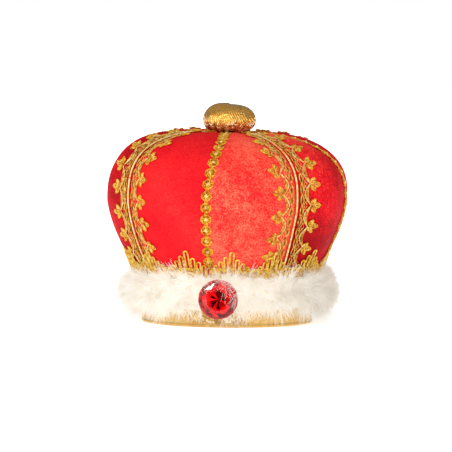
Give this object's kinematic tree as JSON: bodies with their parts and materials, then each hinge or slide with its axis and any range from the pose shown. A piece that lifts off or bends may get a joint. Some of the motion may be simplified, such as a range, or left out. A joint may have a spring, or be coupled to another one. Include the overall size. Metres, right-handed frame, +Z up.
{
  "type": "costume crown",
  "caption": "Soft padded fabric crown: puffed velvet dome with metallic braids, feather-trimmed headband, round stone and stuffed top ball; worn on the head.",
  "frame": {"origin": "centre of the crown's axis on the plane that the hem of the band stands on", "axes": "+Z up along the crown's axis, -Y towards the front seam and the stone, +X to the right when the front is looked at"},
  "size_m": [0.2582, 0.2582, 0.2345],
  "materials": {
    "red_velvet": "short crushed-nap velvet, bright red, soft sheen",
    "white_foam": "soft laminating foam, matt",
    "red_lining": "thin plain-weave polyester lining",
    "gold_braid": "metallic gimp cord, amber gold, glinting",
    "white_feather": "fluffy marabou down, off-white",
    "cotton_cord": "twisted cotton cord",
    "red_stone": "clear red acrylic, faceted, polished",
    "silver_foil": "mirror foil",
    "gold_lame": "foil-knit gold lame, crinkled, shiny",
    "buckram": "stiffened woven interlining",
    "cotton_ribbon": "ribbed cotton ribbon",
    "fibre_filling": "polyester fibre filling",
    "red_felt": "pressed felt"
  },
  "bodies": {
    "root": {"band_cover": "gold_lame", "band_stiffener": "buckram", "sweatband": "cotton_ribbon", "gore_1": "red_velvet", "gore_2": "red_velvet", "gore_3": "red_velvet", "gore_4": "red_velvet", "gore_5": "red_velvet", "gore_6": "red_velvet", "gore_7": "red_velvet", "gore_8": "red_velvet", "foam_panel_1": "white_foam", "foam_panel_2": "white_foam", "foam_panel_3": "white_foam", "foam_panel_4": "white_foam", "foam_panel_5": "white_foam", "foam_panel_6": "white_foam", "foam_panel_7": "white_foam", "foam_panel_8": "white_foam", "dome_lining": "red_lining", "flower_braid_1": "gold_braid", "flower_braid_2": "gold_braid", "flower_braid_3": "gold_braid", "flower_braid_4": "gold_braid", "leaf_braid_1": "gold_braid", "leaf_braid_2": "gold_braid", "leaf_braid_3": "gold_braid", "leaf_braid_4": "gold_braid", "loop_braid": "gold_braid", "fur_trim": "white_feather", "fur_core_cord": "cotton_cord", "gem": "red_stone", "gem_foil": "silver_foil", "knob_cover": "gold_lame", "knob_stuffing": "fibre_filling", "knob_tie": "cotton_cord", "knob_backing": "red_felt"}
  },
  "joints": []
}
